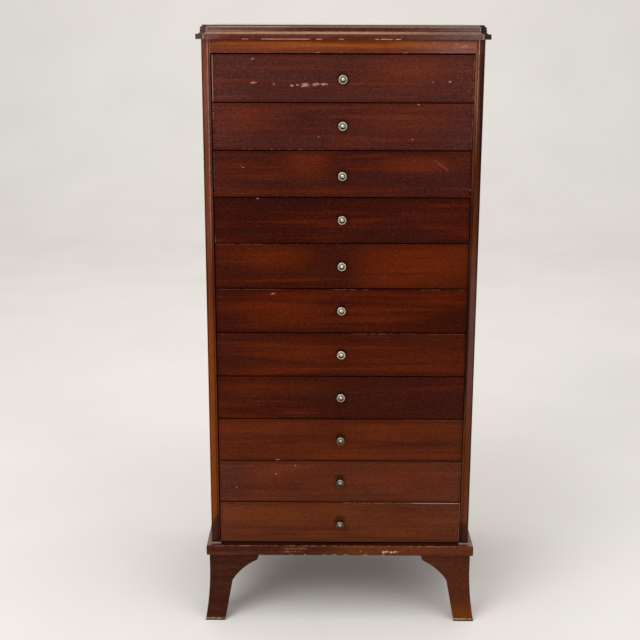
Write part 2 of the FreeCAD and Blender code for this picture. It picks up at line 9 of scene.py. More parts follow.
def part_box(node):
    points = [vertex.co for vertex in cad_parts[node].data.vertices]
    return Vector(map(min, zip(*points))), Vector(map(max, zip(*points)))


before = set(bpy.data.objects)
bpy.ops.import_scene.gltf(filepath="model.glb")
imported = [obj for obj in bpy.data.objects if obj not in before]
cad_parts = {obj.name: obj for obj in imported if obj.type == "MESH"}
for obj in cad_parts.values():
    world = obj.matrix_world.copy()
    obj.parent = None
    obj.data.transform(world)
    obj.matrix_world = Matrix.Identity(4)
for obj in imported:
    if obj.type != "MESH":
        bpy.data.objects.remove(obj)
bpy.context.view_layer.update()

MM = 0.001
DRAWERS = range(1, 12)
BOX = {name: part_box(name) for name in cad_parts}
FRONT_Y = BOX["drawer_01_front"][0].y
FRIEZE_FOOT = BOX["frieze_rail"][0].z

# Sizes of the part that its boxes don't give
TOP_NOTCH = 11.6 * MM
TIER_INSET = 4.55 * MM
DRAWER_BACK = 9.2 * MM

# Heights on the moulded edge of the top, in mm above its lower face: from and to
LOWER_STEP = (4.8, 7.6)
COVE = (7.6, 11.2)
UPPER_TIER = (11.6, 16.6)
UPPER_TIER_FOOT = (11.6, 12.8)
LIP = (16.9, 18.3)

# The ridge on the front edge of a side board, as distances from the outside
RIDGE_START = 8.2 * MM
RIDGE_END = 9.8 * MM

# The dish of a knob, as distances from its middle
DISH_START = 3.8 * MM
DISH_END = 4.9 * MM

# How far grime and painted shade reach in from the arrises of a drawer front, and how far its dull ends reach
GRIME_AND_SHADE_REACH = 7 * MM
DULL_REACH = 80 * MM

# A mark this deep goes right through a piece, and a chip goes only this deep
ANY_DEPTH = 1.0
CHIP_DEPTH = 3 * MM

# Features of the wood per metre, along the grain and across it
CLOUDS = (5, 14)
FIGURE = (4, 105)
STREAKS = (9, 420)
PORES = (60, 1500)
RUBS = (150, 380)
FLECKS = (190, 460)

# Other features per metre, along X, Y and Z
RAGGED = (620, 620, 900)
SMUDGES = (28, 28, 28)
PATCHES = (14, 14, 40)
DOTS = (320, 320, 400)
TOP_CLOUDS = (22, 22, 22)
FLOOR_CLOUDS = (3, 3, 3)
PATINA = (700, 700, 700)
RUST = (600, 600, 600)

# How much clouds, figure and streaks each count in the tone, and which tone gets each colour of a wood
CLOUD_SHARE = 0.38
FIGURE_SHARE = 0.34
STREAK_SHARE = 0.28
TONE_STOPS = (0.4, 0.5, 0.6)

# How strongly pores show, how light specks compare with dark ones, and how deep the relief is
PORE_DEPTH = 0.4
LIGHT_SPECKS = 0.16
WOOD_BUMP = 0.12 * MM
METAL_BUMP = 0.05 * MM
FLOOR_BUMP = 0.1 * MM

# The Mix node's sockets by number, since their names repeat: first input, second input and output
MIX_SOCKETS = {"RGBA": (6, 7, 2), "VECTOR": (4, 5, 1)}


def srgb(red, green, blue):
    """A colour given as it looks on screen, 0 to 255, in the linear values that Blender takes."""
    def linear(level):
        share = level / 255
        return share / 12.92 if share <= 0.04045 else ((share + 0.055) / 1.055) ** 2.4
    return (linear(red), linear(green), linear(blue), 1.0)


# Shine of the old polish
POLISH = {"Specular IOR Level": 0.14, "Specular Tint": srgb(255, 140, 90)}

# Wear, dust and grime, with the painted highlights, sheen and shade that share these colours
PALE_WEAR_AND_HIGHLIGHT = srgb(164, 112, 90)
RUBBED_EDGE = srgb(158, 122, 114)
BARE_EDGE = srgb(198, 158, 120)
RAW_CHIP = srgb(186, 128, 110)
PINK_WEAR_AND_LIGHT = srgb(222, 172, 152)
PALE_CREAM = srgb(234, 190, 152)
SCUFF = srgb(190, 132, 92)
STRAW = srgb(188, 150, 110)
STRAW_SHEEN_AND_WEAR = srgb(178, 150, 118)
LIP_SHEEN_GREY = srgb(143, 131, 107)
LIP_SHEEN_PALE = srgb(192, 174, 160)
BLOOM = srgb(171, 110, 102)
GREY_BLOOM = srgb(124, 100, 96)
DUST_AND_SHEEN = srgb(166, 142, 136)
LEDGE_DUST_AND_SHEEN = srgb(146, 128, 114)
GRIME_AND_SHADE = srgb(92, 74, 68)
PORE_BROWN = srgb(120, 108, 104)

# Colours of the polished wood
DEEP_RED = srgb(37, 6, 2)
RED_BROWN = srgb(52, 10, 3)
WARM_BROWN = srgb(72, 20, 5)
RUST_BROWN = srgb(110, 38, 8)
OLIVE_BROWN = srgb(112, 58, 20)
PLUM = srgb(44, 13, 13)
FOOT_PLUM = srgb(47, 26, 24)
JOINT_DIRT_AND_SHADE = srgb(14, 7, 6)
LEDGE_SHADOW_RED = srgb(38, 10, 5)

# Woods: the dark, the middle and the light tone
FRONT_WOOD = (DEEP_RED, RED_BROWN, WARM_BROWN)
FRIEZE_WOOD = (srgb(112, 51, 23), srgb(140, 70, 32), srgb(164, 90, 47))
TOP_WOOD = (srgb(58, 28, 22), srgb(76, 38, 32), srgb(96, 52, 42))
BASE_WOOD = (srgb(54, 25, 15), srgb(70, 34, 22), srgb(88, 44, 28))
BOARD_WOOD = (srgb(42, 18, 12), srgb(55, 25, 17), srgb(70, 33, 22))
FOOT_WOOD = (srgb(46, 21, 15), srgb(57, 27, 19), srgb(69, 34, 23))
OAK = (srgb(118, 84, 50), srgb(150, 112, 70), srgb(178, 140, 94))
CEDAR = (srgb(126, 80, 52), srgb(154, 104, 70), srgb(178, 128, 90))
PINE = (srgb(126, 90, 54), srgb(146, 106, 64), srgb(162, 122, 76))

# What sets each drawer front apart. Places are millimetres right of the middle and up from the lower edge.
#   warmth  how far the wood leans to orange
#   bloom   how dull and pale the old polish is
#   clouds  across, up, width, height, and how warm (above 0) or dark (below 0)
#   worn    arris, from, to, how much of it is rubbed, and how pale
#   chips   across, up, width, height
#   scratch from across and up, to across and up
FRONT_LOOK = {
    1: {"warmth": 0.02, "bloom": 0.075,
        "clouds": [(98, 48, 120, 40, 0.4), (-150, 14, 90, 26, -0.4), (160, 20, 60, 26, -0.3)],
        "worn": [("left", 0, 69, 1.3, 0.8), ("right", 4, 69, 0.8, 0.5)],
        "chips": [(-132, 62, 4, 1.6), (-131, 28, 7, 2.2), (-101, 26, 3, 2.2), (-75, 24, 4, 2.4),
                  (-66, 25, 3, 2), (-55, 25, 10, 5), (-39, 26, 9, 4), (-28, 26, 7, 3), (131, 29, 3, 1.3),
                  (156, 30, 3.5, 1.6)]},
    2: {"warmth": 0.02, "bloom": 0.055,
        "clouds": [(98, 44, 110, 40, 0.25), (-140, 50, 100, 18, 0.2), (-85, 14, 150, 26, -0.45),
                   (160, 16, 80, 32, -0.45)],
        "worn": [("left", 44, 69, 0.9, 0.6), ("left", 0, 44, 0.6, 0.3), ("right", 4, 69, 0.7, 0.4),
                 ("foot", -150, -20, 0.35, 0.55), ("foot", 50, 130, 0.15, 0.4)],
        "chips": [(-36, 20, 1.8, 1.4), (103, 16, 2, 1.4), (111, 67, 2.5, 1.2)]},
    3: {"warmth": 0.03, "bloom": 0.022,
        "clouds": [(-52, 50, 60, 40, 0.4), (112, 47, 100, 24, 0.4), (115, 20, 190, 34, -0.75)],
        "worn": [("left", 0, 69, 0.7, 0.25), ("right", 0, 20, 0.6, 0.5), ("foot", -110, 110, 0.12, 0.5)],
        "chips": [(-151, 46, 1.8, 1.2), (-148, 44, 2, 1.3)],
        "scratch": (139, 53.5, 156, 41)},
    4: {"warmth": 0.0, "bloom": 0.004,
        "clouds": [(100, 32, 190, 70, -0.5), (-150, 34, 110, 80, -0.2)],
        "worn": [("left", 0, 10, 0.9, 0.5)],
        "chips": [(-126, 67.5, 4, 1.3)]},
    5: {"warmth": 0.08, "bloom": 0.0,
        "clouds": [(108, 36, 190, 80, 0.4), (-112, 48, 130, 34, 0.3), (-165, 26, 60, 60, -0.4),
                   (-12, 34, 70, 90, -0.45)],
        "worn": [("top", -190, -120, 0.9, 0.2), ("top", -120, 190, 0.5, 0.1)],
        "chips": []},
    6: {"warmth": 0.02, "bloom": 0.0,
        "clouds": [(-95, 40, 120, 46, 0.15), (112, 45, 150, 34, 0.1), (-4, 36, 60, 80, -0.3),
                   (-178, 34, 60, 80, -0.4)],
        "worn": [("top", -190, -90, 1.0, 0.18), ("top", -12, 40, 0.8, 0.28), ("top", 120, 190, 0.8, 0.22)],
        "chips": [(-105, 61, 5, 2)]},
    7: {"warmth": 0.05, "bloom": 0.004,
        "clouds": [(112, 20, 190, 44, 0.15), (-95, 22, 130, 50, 0.1), (118, 54, 170, 12, -0.5),
                   (-178, 34, 60, 80, -0.4)],
        "worn": [("top", 20, 190, 0.9, 0.16), ("top", 36, 68, 0.9, 0.26)],
        "chips": []},
    8: {"warmth": 0.04, "bloom": 0.008,
        "clouds": [(-110, 50, 170, 22, 0.2), (115, 32, 210, 70, -0.35)],
        "worn": [("top", -20, 0, 0.4, 0.4)],
        "chips": []},
    9: {"warmth": 0.19, "bloom": 0.012,
        "clouds": [(-110, 44, 170, 46, 0.25), (105, 50, 170, 26, 0.15), (100, 12, 180, 20, -0.3),
                   (-184, 30, 40, 80, 0.25)],
        "worn": [("top", 100, 190, 0.9, 0.14)],
        "chips": [(-99, 1.4, 5, 1.6)]},
    10: {"warmth": 0.24, "bloom": 0.042,
         "clouds": [(-170, 30, 70, 70, -0.4), (-85, 48, 120, 40, 0.15), (112, 40, 110, 50, 0.2),
                    (178, 52, 50, 40, -0.4), (-12, 16, 60, 30, 0.12)],
         "worn": [("right", 40, 69, 0.5, 0.4)],
         "chips": [(-102, 47, 2.4, 1.4), (-165, 24, 3, 1.3), (-71, 61, 1.4, 2)]},
    11: {"warmth": 0.43, "bloom": 0.03,
         "clouds": [(-105, 36, 190, 60, 0.15), (165, 30, 90, 80, -0.2)],
         "worn": [("top", 5, 120, 0.8, 0.4), ("top", 115, 190, 1.3, 0.95), ("right", 4, 69, 1.0, 0.4)],
         "chips": []},
}

# Width and height of the grime and painted shade round a knob, in mm; by drawer how far above the knob it
# sits, as a painted reflection, and how much the knob is darkened as a painted dark reflection
KNOB_SHADE_SIZE = (17, 18)
KNOB_SHADE_RISE = {9: 3, 10: 5, 11: 5}
KNOB_DARK_REFLECTION = {8: 0.25, 9: 0.75, 10: 0.9, 11: 0.9}

# What sets the two side boards apart. Heights are metres above the floor.
#   tones        dark, middle and light; the right board's are darker as painted shade
#   rim          width of the dark rim high up, in mm; wider on the right as painted shade
#   ridge_from   height from which the ridge is rubbed and painted with a highlight
#   joint_from   how far from the outside the dark joint starts, in mm
#   joint_top    height at which the dark joint ends
#   foot_slant   how fast the dark foot rises to the inside
#   hazes        colour, amount, and the heights from and to
#   inner_hazes  the same, beside the drawers alone; the pale ones high up are painted light on the shaded
#   sunk band
SIDE_LOOK = {
    "left_side": {
        "tones": (srgb(76, 34, 16), srgb(94, 43, 20), srgb(114, 56, 28)),
        "rim": 2.4, "ridge_from": 0.6, "joint_from": 12.2, "joint_top": FRIEZE_FOOT, "foot_slant": 1.5,
        "hazes": [(srgb(134, 66, 14), 0.5, 0.1, 0.5), (BLOOM, 0.2, 0.8, 1.0),
                  (GREY_BLOOM, 0.12, 0.62, 0.84)],
        "inner_hazes": [(PINK_WEAR_AND_LIGHT, 0.7, 0.914, 1.0)]},
    "right_side": {
        # The right board's darker tones and wider dark rim are painted shade: it gets less light than the
        # left
        "tones": (srgb(58, 25, 12), srgb(73, 33, 17), srgb(90, 44, 24)),
        "rim": 6.8, "ridge_from": 0.76, "joint_from": 12.9, "joint_top": 0.68, "foot_slant": 0.2,
        "hazes": [(srgb(110, 86, 84), 0.3, 0.36, 0.58), (BLOOM, 0.12, 0.8, 1.0),
                  (srgb(122, 66, 34), 0.22, 0.12, 0.34)],
        "inner_hazes": [(srgb(190, 120, 92), 0.6, 0.82, 1.0), (srgb(150, 78, 58), 0.45, 0.7, 0.82),
                        (PLUM, 0.85, 0.38, 0.58), (srgb(132, 70, 44), 0.45, 0.12, 0.34)]},
}

# Hazes along a board: colour, amount, and where it begins and is full, in mm right of the middle
FRIEZE_HAZES = ((srgb(100, 46, 26), 0.45, -165, -192), (BLOOM, 0.05, -60, -150), (BLOOM, 0.18, 90, 185),
                (GREY_BLOOM, 0.3, 60, 190))
TOP_HAZES = ((GREY_BLOOM, 0.3, 60, 190), (srgb(112, 104, 94), 0.38, 120, 200),
             (GREY_BLOOM, 0.3, -165, -195))
# Chips on the frieze: across, and up from its lower edge, in mm like the rest
FRIEZE_CHIPS = ((132, 14), (164, 12.5), (172.5, 8.7), (178, 10))
# Bare stretches of the lower edge of the top: from and to, across
BARE_STRETCHES = ((-146, -137), (-118, -48), (-39, -31), (-7, 0), (46, 51), (54, 71), (76, 83))
# Scuffs on the base: across, height above the floor, width, how tall, and how bare
BASE_SCUFFS = ((-72, 125, 40, 4, 0.5), (-80, 120, 34, 3, 0.4), (79, 120, 30, 3.4, 0.5), (34, 121, 4, 3, 0.6),
               (158, 128, 3, 2, 0.6), (154, 113, 3, 2, 0.6))
# Bright places in those scuffs, the same way
BRIGHT_SCUFFS = ((70, 119.2, 5.4, 4.6, 1.2), (76, 121, 5, 3.2, 0.9), (82.5, 120, 3.6, 3.4, 1.0),
                 (90, 120, 7, 3.4, 0.9))
# Rubbed places along the lower arris of the base: across and width
LOWER_RUBS = ((-79, 4), (-56, 5), (-24, 7), (-9, 9), (9, 6), (41, 9), (70, 6))
# Feet: side, colour of the toe, and how much the wood glows
FOOT_LOOK = (("left", srgb(54, 28, 21), 0.0), ("right", srgb(116, 58, 10), 0.35))

# The floor, in metres: half its width and its reach to the front, the bend up into the wall, and the wall
FLOOR_REACH = 14.0
BEND_FROM = 3.0
BEND_RADIUS = 1.6
BEND_STEPS = 16
WALL_TOP = 6.0
FLOOR_TONES = (srgb(230, 226, 220), srgb(235, 231, 225))

# Lamps: name, place, the place that it faces, size in metres and power in watts
LAMP_TARGET = (0, -0.1, 0.5)
LAMPS = (
    ("key_lamp", (-1.7, -2.3, 2.3), LAMP_TARGET, 1.8, 45),
    ("fill_lamp", (1.9, -2.1, 1.6), LAMP_TARGET, 2.0, 14),
    ("top_lamp", (0, -0.7, 3.0), (0, -0.7, 0), 2.4, 40),
    ("wall_lamp", (0, 1.6, 3.4), (0, 4.6, 1.6), 3.0, 45),
)
SKY = srgb(236, 236, 238)
SKY_STRENGTH = 0.6

# The camera, fitted to the straight edges in the photo; lens and sensor are in millimetres
CAMERA_PLACE = (-0.0239, -1.92512, 0.9501)
CAMERA_TILT = math.radians(14.279)
CAMERA_YAW = math.radians(0.2884)
CAMERA_ROLL = math.radians(0.1341)
CAMERA_LENS = 66.594
SENSOR = 36.0


def dress(material, *names):
    for name in names:
        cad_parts[name].material_slots[0].material = material


def stretched(axis, along, across):
    """Features per metre of a grain that runs along one axis."""
    return tuple(along if letter == axis else across for letter in "xyz")


def on_front(low, across, up):
    """A point on the front face, in mm right of the middle and up from the lower edge."""
    return (across * MM, low.y, low.z + up * MM)


def front_size(width, height):
    """The size of a mark on a front face, from mm."""
    return (width * MM, ANY_DEPTH, height * MM)


class Graph:
    """The node tree of one material, with short calls for the nodes used here. Lengths are in metres."""

    def __init__(self, name):
        self.material = bpy.data.materials.new(name)
        self.material.use_nodes = True
        self.tree = self.material.node_tree
        self.tree.nodes.clear()
        self.place = self.node("ShaderNodeTexCoord").outputs["Object"]
        self.x, self.y, self.z = self.node("ShaderNodeSeparateXYZ", {0: self.place}).outputs
        self.colour = None

    def node(self, kind, inputs=None, **settings):
        """Adds a node. An input is a number, a vector, a colour or another node's output."""
        made = self.tree.nodes.new(kind)
        for key, value in settings.items():
            setattr(made, key, value)
        for key, value in (inputs or {}).items():
            if isinstance(value, bpy.types.NodeSocket):
                self.tree.links.new(value, made.inputs[key])
            else:
                made.inputs[key].default_value = value
        return made

    def math(self, operation, *terms):
        return self.node("ShaderNodeMath", dict(enumerate(terms)), operation=operation).outputs[0]

    def vector(self, operation, *terms):
        return self.node("ShaderNodeVectorMath", dict(enumerate(terms)), operation=operation)

    def times(self, total, *others):
        """The product of masks and amounts."""
        for other in others:
            total = self.math("MULTIPLY", total, other)
        return total

    def add(self, total, *others):
        for other in others:
            total = self.math("ADD", total, other)
        return total

    def less(self, first, second):
        return self.math("SUBTRACT", first, second)

    def either(self, first, second):
        return self.math("MAXIMUM", first, second)

    def absolute(self, value):
        return self.math("ABSOLUTE", value)

    def ease(self, value, start, end):
        """0 at start and before it, 1 at end and past it, with a smooth way between."""
        inputs = {"Value": value, "From Min": start, "From Max": end}
        return self.node("ShaderNodeMapRange", inputs, interpolation_type="SMOOTHSTEP").outputs["Result"]

    def span(self, value, low, high):
        """Spreads a noise of 0 to 1 over low to high."""
        inputs = {"Value": value, "To Min": low, "To Max": high}
        return self.node("ShaderNodeMapRange", inputs).outputs["Result"]

    def noise(self, scale, detail=2.0, distortion=0.0, shift=(0, 0, 0)):
        """Noise with its own number of features per metre along X, Y and Z."""
        scaled = self.vector("MULTIPLY_ADD", self.place, scale, shift).outputs[0]
        inputs = {"Vector": scaled, "Scale": 1.0, "Detail": detail, "Distortion": distortion}
        return self.node("ShaderNodeTexNoise", inputs).outputs["Fac"]

    def mix(self, kind, amount, first, second, blend="MIX"):
        """Goes from one colour or vector to a second as the amount goes from 0 to 1."""
        first_input, second_input, output = MIX_SOCKETS[kind]
        inputs = {0: amount, first_input: first, second_input: second}
        return self.node("ShaderNodeMix", inputs, data_type=kind, blend_type=blend).outputs[output]

    def ramp(self, value, *stops):
        made = self.node("ShaderNodeValToRGB", {"Fac": value})
        elements = made.color_ramp.elements
        while len(elements) < len(stops):
            elements.new(1.0)
        for element, (position, colour) in zip(elements, stops):
            element.position = position
            element.color = colour
        return made.outputs["Color"]

    def tint(self, colour, *amounts):
        """Lays a colour over what is there, as much as the product of the amounts says."""
        self.colour = self.mix("RGBA", self.times(*amounts), self.colour, colour)

    def stain(self, colour, *amounts):
        """Darkens what is there by a colour, as much as the product of the amounts says."""
        self.colour = self.mix("RGBA", self.times(*amounts), self.colour, colour, "MULTIPLY")

    def line(self, value, place, width):
        """1 on a place along one axis, falling to 0 half a width away."""
        return self.ease(self.absolute(self.less(value, place)), width / 2, width / 6)

    def band(self, value, low, high, soft):
        """1 between two places along one axis, with soft ends."""
        past_low = self.ease(value, low - soft, low + soft)
        before_high = self.ease(value, high + soft, high - soft)
        return self.times(past_low, before_high)

    def spot(self, centre, size, ragged, soft=0.15):
        """1 inside an uneven round mark of the given full size, 0 outside it."""
        offset = self.vector("SUBTRACT", self.place, centre).outputs[0]
        scaled = self.vector("MULTIPLY", offset, [2 / side for side in size]).outputs[0]
        reach = self.add(self.vector("LENGTH", scaled).outputs["Value"], ragged)
        return self.ease(reach, 1 + soft, 1 - soft)

    def scratch(self, start, end, width):
        """1 along a straight scratch in the plane of X and Z, fading to its sides."""
        run = Vector(end) - Vector(start)
        offset = self.vector("SUBTRACT", self.place, start).outputs[0]
        along = self.vector("DOT_PRODUCT", offset, run.normalized()).outputs["Value"]
        aside = self.vector("DOT_PRODUCT", offset, run.normalized().cross((0, 1, 0))).outputs["Value"]
        fading = self.ease(self.absolute(aside), width / 2, 0)
        return self.times(self.band(along, 0, run.length, width), fading)

    def facing_up(self):
        """1 where the surface faces up."""
        normal = self.node("ShaderNodeNewGeometry").outputs["Normal"]
        return self.ease(self.node("ShaderNodeSeparateXYZ", {0: normal}).outputs["Z"], 0.75, 0.95)

    def grazing(self):
        """1 where the surface is seen almost edge-on."""
        facing = self.node("ShaderNodeLayerWeight", {"Blend": 0.5}).outputs["Facing"]
        return self.ease(facing, 0.93, 0.98)

    def shade(self, roughness, height, bump, relief=0.3, **settings):
        """Ends the tree with the shader.

        Height is a texture, bump the metres that one unit of it stands for, and relief how strongly it shows.
        """
        normal = self.node("ShaderNodeBump", {"Strength": relief, "Distance": bump, "Height": height})
        inputs = {"Base Color": self.colour, "Roughness": roughness, "Normal": normal.outputs[0]}
        inputs.update(settings)
        shader = self.node("ShaderNodeBsdfPrincipled", inputs)
        self.node("ShaderNodeOutputMaterial", {"Surface": shader.outputs[0]})
        return self.material


class Wood(Graph):
    """Wood whose grain runs along one axis: clouds of colour, soft bands, fine streaks and open pores."""

    def __init__(self, name, axis, tones, shift=(0, 0, 0), corner=None, across_from=None):
        super().__init__(name)
        if corner is not None:
            self.turn_at_corner(*corner)
        if across_from is not None:
            self.turn_grain(self.math("GREATER_THAN", self.y, across_from))

        def grain(features, detail, distortion):
            return self.noise(stretched(axis, *features), detail, distortion, shift)

        cloud = grain(CLOUDS, detail=2.0, distortion=0.4)
        self.figure = grain(FIGURE, detail=2.0, distortion=0.6)
        self.streak = grain(STREAKS, detail=4.0, distortion=0.3)
        tone = self.add(self.times(cloud, CLOUD_SHARE), self.times(self.figure, FIGURE_SHARE),
                        self.times(self.streak, STREAK_SHARE))
        self.colour = self.ramp(tone, *zip(TONE_STOPS, tones))
        self.pores = self.ease(grain(PORES, detail=2.0, distortion=0.0), 0.54, 0.7)
        self.rub = grain(RUBS, detail=3.0, distortion=0.3)
        self.fleck = self.noise(stretched(axis, *FLECKS), detail=2.0)
        self.ragged = self.noise(RAGGED, detail=3.0, distortion=0.5)

    def turn_at_corner(self, outer_x, front_y):
        """Turns the grain on the side lengths of a piece that goes round a front corner."""
        from_side = self.less(outer_x, self.absolute(self.x))
        from_front = self.less(self.y, front_y)
        self.turn_grain(self.math("GREATER_THAN", from_front, from_side))

    def turn_grain(self, where):
        """Changes X and Y over for the textures that follow, where a mask is 1."""
        turned = self.node("ShaderNodeCombineXYZ", {0: self.y, 1: self.x, 2: self.z}).outputs[0]
        self.place = self.mix("VECTOR", where, self.place, turned)

    def broken(self, share):
        """An uneven mask that covers more of the surface the larger the share is."""
        start = 0.66 - 0.3 * share
        return self.ease(self.rub, start, start + 0.1)

    def haze(self, hazes):
        """Lays colours over stretches of a board's length."""
        for colour, amount, start, end in hazes:
            self.tint(colour, self.ease(self.x, start * MM, end * MM), amount)

    def chip(self, low, across, up, width, height, amount):
        """A mark on the front face where the polish is knocked off, placed and sized in mm."""
        size = (width * MM, CHIP_DEPTH, height * MM)
        mark = self.spot(on_front(low, across, up), size, self.span(self.ragged, -2.4, 2.4))
        self.tint(RAW_CHIP, mark, self.span(self.fleck, 0.4 * amount, 1.4 * amount))

    def speckle(self, amount):
        """Fine dark and light specks, as old polish has."""
        self.stain(GRIME_AND_SHADE, self.ease(self.fleck, 0.5, 0.3), amount)
        self.tint(BLOOM, self.ease(self.fleck, 0.5, 0.72), amount * LIGHT_SPECKS)

    def finish(self, rough, mirror=None, **settings):
        """Ends the tree. Rough is the usual roughness, mirror a mask of the faces worn quite smooth."""
        self.stain(PORE_BROWN, self.pores, PORE_DEPTH)
        smudge = self.noise(SMUDGES, detail=3.0, distortion=0.6)
        roughness = self.add(self.span(smudge, rough - 0.1, rough + 0.14), self.times(self.pores, 0.12))
        height = self.less(self.times(self.streak, 0.4), self.pores)
        if mirror is not None:
            dull = self.less(1.0, mirror)
            roughness = self.add(self.times(roughness, dull), self.times(mirror, 0.08))
            height = self.times(height, dull)
        return self.shade(roughness, height, WOOD_BUMP, **settings)


def drawer_front(number, warmth, bloom, clouds, worn, chips, scratch=None):
    """A drawer front with its own clouds of colour, rubbed arrises, chips, and grime and painted shade round
    the knob.
    """
    name = f"drawer_{number:02d}_front"
    low, high = BOX[name]
    # Each front takes its grain from another place in the noise
    shift = (2.7 * number, 0, 5.3 * number)
    g = Wood(f"mahogany_{name}", "x", FRONT_WOOD, shift)
    patchy = g.noise(PATCHES, detail=3.0)
    g.tint(OLIVE_BROWN, g.span(patchy, 0.4, 1.6), warmth)
    sway = g.add(g.span(g.figure, -1.3, 1.3), g.span(g.streak, -0.5, 0.5))
    for across, up, width, height, warm in clouds:
        cloud = g.spot(on_front(low, across, up), front_size(width, height), sway, soft=0.6)
        g.tint(RUST_BROWN if warm > 0 else PLUM, cloud, abs(warm))
    g.tint(PLUM, g.ease(g.figure, 0.48, 0.3), 0.45)
    g.tint(RUST_BROWN, g.ease(g.figure, 0.52, 0.7), 0.16)
    g.tint(BLOOM, g.span(g.fleck, 0.55, 1.45), g.span(patchy, 0.6, 1.4), bloom)
    g.speckle(0.22)
    ends = g.ease(g.absolute(g.x), high.x - DULL_REACH, high.x)
    dots = g.noise(DOTS, detail=2.0)
    g.tint(GREY_BLOOM, ends, g.ease(dots, 0.44, 0.68), 2.2 * bloom)
    # For each arris, the distance from it and the place along it
    from_foot = g.less(g.z, low.z)
    arrises = {"left": (g.less(g.x, low.x), from_foot), "right": (g.less(high.x, g.x), from_foot),
               "top": (g.less(high.z, g.z), g.x), "foot": (from_foot, g.x)}
    # Darker towards every arris: grime, and painted shade in the gaps between the parts
    for distance, _ in arrises.values():
        g.stain(GRIME_AND_SHADE, g.ease(distance, GRIME_AND_SHADE_REACH, 0), g.span(patchy, 0.0, 0.5))
    # Grime and painted shade round the knob; on the low drawers it sits higher, as a painted reflection of
    # the knob's dark back
    knob_low, knob_high = BOX[f"drawer_{number:02d}_knob"]
    knob_shade_z = (knob_low.z + knob_high.z) / 2 + KNOB_SHADE_RISE.get(number, 0) * MM
    knob_shade = g.spot((0, low.y, knob_shade_z), front_size(*KNOB_SHADE_SIZE), g.span(patchy, -0.5, 0.5), soft=0.35)
    g.stain(GRIME_AND_SHADE, knob_shade, 0.5)
    for arris, start, end, share, pale in worn:
        distance, along = arrises[arris]
        rubbed = g.band(distance, 0.3 * MM, (0.9 + 0.6 * pale) * MM, 0.3 * MM)
        reach = g.band(along, start * MM, end * MM, 4 * MM)
        g.tint(RUBBED_EDGE, rubbed, reach, g.broken(share), pale)
    for chip in chips:
        g.chip(low, *chip, amount=0.85)
    if scratch:
        start = on_front(low, *scratch[:2])
        end = on_front(low, *scratch[2:])
        g.tint(RUBBED_EDGE, g.scratch(start, end, 4.4 * MM), g.span(g.broken(0.5), 0.1, 0.45))
    dress(g.finish(rough=0.34, **POLISH), name)


def frieze():
    """The rail under the top: more orange, duller at its ends and specked along its lower arris."""
    low, high = BOX["frieze_rail"]
    g = Wood("mahogany_frieze", "x", FRIEZE_WOOD)
    g.tint(srgb(98, 40, 24), g.ease(g.z, low.z + 12 * MM, low.z + 3 * MM), 0.85)
    g.haze(FRIEZE_HAZES)
    g.speckle(0.3)
    # Painted shadow of the top along the upper edge of the rail
    g.stain(GRIME_AND_SHADE, g.ease(g.less(high.z, g.z), 5 * MM, 0), 0.5)
    g.tint(PALE_WEAR_AND_HIGHLIGHT, g.line(g.z, low.z + 0.4 * MM, 2.4 * MM), g.broken(0.3), 0.7)
    end = g.ease(g.absolute(g.x), high.x - 2.6 * MM, high.x - 1.4 * MM)
    g.tint(BARE_EDGE, end, g.span(g.broken(0.9), 0.35, 0.8))
    for across, up in FRIEZE_CHIPS:
        g.chip(low, across, up, width=4, height=3, amount=0.5)
    dress(g.finish(rough=0.34, **POLISH), "frieze_rail")


def case_side(name, tones, rim, ridge_from, joint_from, joint_top, foot_slant, hazes, inner_hazes):
    """A side board: its front edge has wear and a painted highlight high up, and is dark at the rim, the foot
    and the joint.
    """
    low, high = BOX[name]
    outer = max(abs(low.x), abs(high.x))
    g = Wood(f"mahogany_{name}", "z", tones)
    from_outside = g.less(outer, g.absolute(g.x))
    front = g.ease(g.y, low.y + 3 * MM, low.y + 1.8 * MM)
    near_front = g.ease(g.y, low.y + 80 * MM, low.y + 5 * MM)
    for colour, amount, start, end in hazes:
        g.tint(colour, near_front, g.band(g.z, start, end, 60 * MM), amount)
    # The pale inner hazes high up are painted light on the sunk band beside the drawers, which lies in shade
    inner = g.times(front, g.ease(from_outside, RIDGE_END, RIDGE_END + 1.2 * MM))
    for colour, amount, start, end in inner_hazes:
        g.tint(colour, inner, g.band(g.z, start, end, 30 * MM), amount)
    g.speckle(0.2)
    high_up = g.ease(g.z, ridge_from - 50 * MM, ridge_from + 100 * MM)
    rim_width = g.span(high_up, 2.4 * MM, rim * MM)
    outside = g.ease(g.less(from_outside, rim_width), 0.6 * MM, -1.4 * MM)
    at_frieze = g.ease(g.z, FRIEZE_FOOT - 6 * MM, FRIEZE_FOOT + 4 * MM)
    g.stain(srgb(76, 58, 60), front, outside, g.span(at_frieze, 0.7, 0.3))
    # The ridge is paled high up and at the frieze: wear, and a painted highlight where the rounded arris
    # catches the light
    ridge = g.times(front, g.band(from_outside, RIDGE_START, RIDGE_END, 0.3 * MM))
    g.tint(PALE_WEAR_AND_HIGHLIGHT, ridge, high_up, g.span(g.broken(0.9), 0.4, 0.8))
    g.tint(PINK_WEAR_AND_LIGHT, ridge, at_frieze, g.span(g.broken(0.9), 0.35, 0.65))
    # The dark joint is dirt and painted shade
    joint = g.ease(from_outside, joint_from * MM, (joint_from + 0.6) * MM)
    g.tint(JOINT_DIRT_AND_SHADE, front, joint, g.ease(g.z, joint_top, joint_top - 2 * MM))
    foot_height = g.less(g.less(g.z, low.z), g.times(from_outside, foot_slant))
    g.tint(FOOT_PLUM, front, g.ease(foot_height, 38 * MM, 26 * MM), 0.85)
    dress(g.finish(rough=0.36, **POLISH), name)


